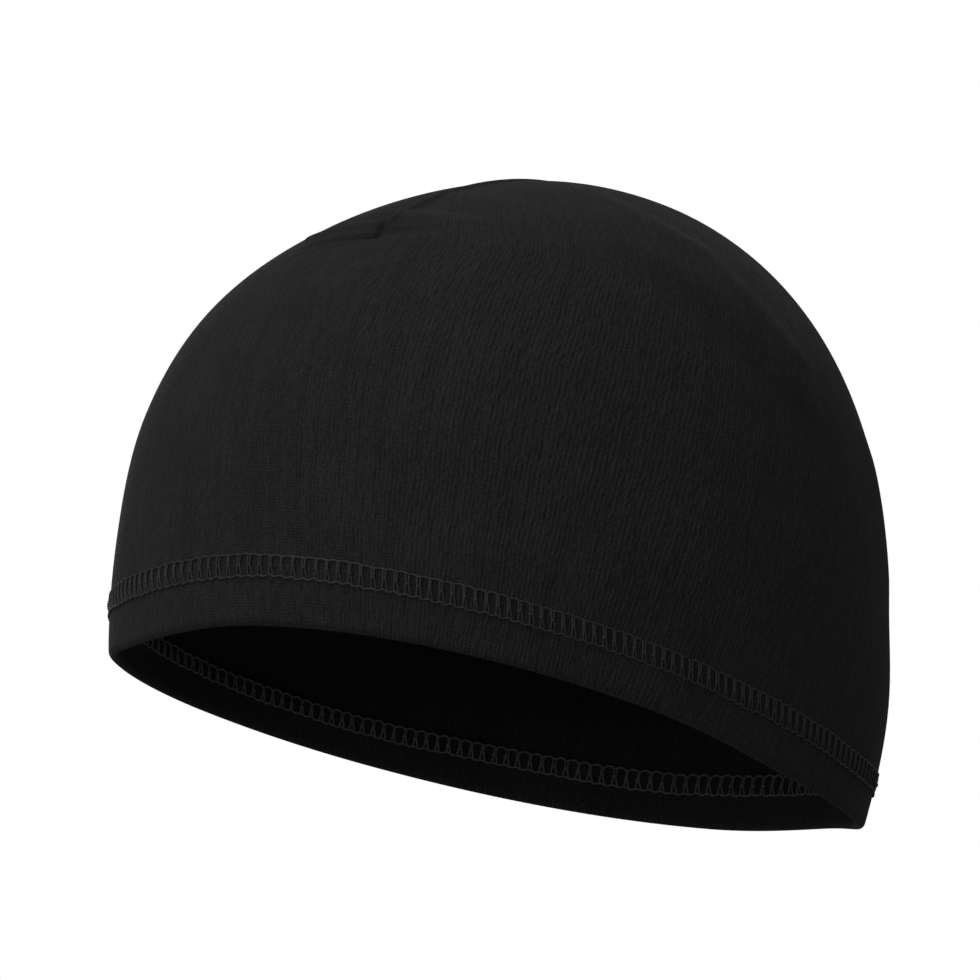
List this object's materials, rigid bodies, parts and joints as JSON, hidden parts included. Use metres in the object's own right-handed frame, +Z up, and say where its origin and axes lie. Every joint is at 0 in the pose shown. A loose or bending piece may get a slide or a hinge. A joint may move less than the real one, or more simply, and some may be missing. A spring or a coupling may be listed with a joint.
{
  "type": "beanie",
  "caption": "Close-fitting jersey skull cap with a turned-up hem held by a ladder of cover stitching and one seam over the crown; it covers the head from the brow to the nape.",
  "frame": {"origin": "middle of the opening for the head, level with the fold of the hem at the sides", "axes": "+Z up along the wearer's head, -Y the way the wearer faces, +X the wearer's left; the back of the rim sits lower than its front, as it is worn"},
  "size_m": [0.1616, 0.2032, 0.1652],
  "materials": {
    "jersey": "matt fine jersey knit, black, with a faint soft sheen"
  },
  "bodies": {
    "root": {"crown": "jersey", "hem_facing": "jersey"}
  },
  "joints": []
}
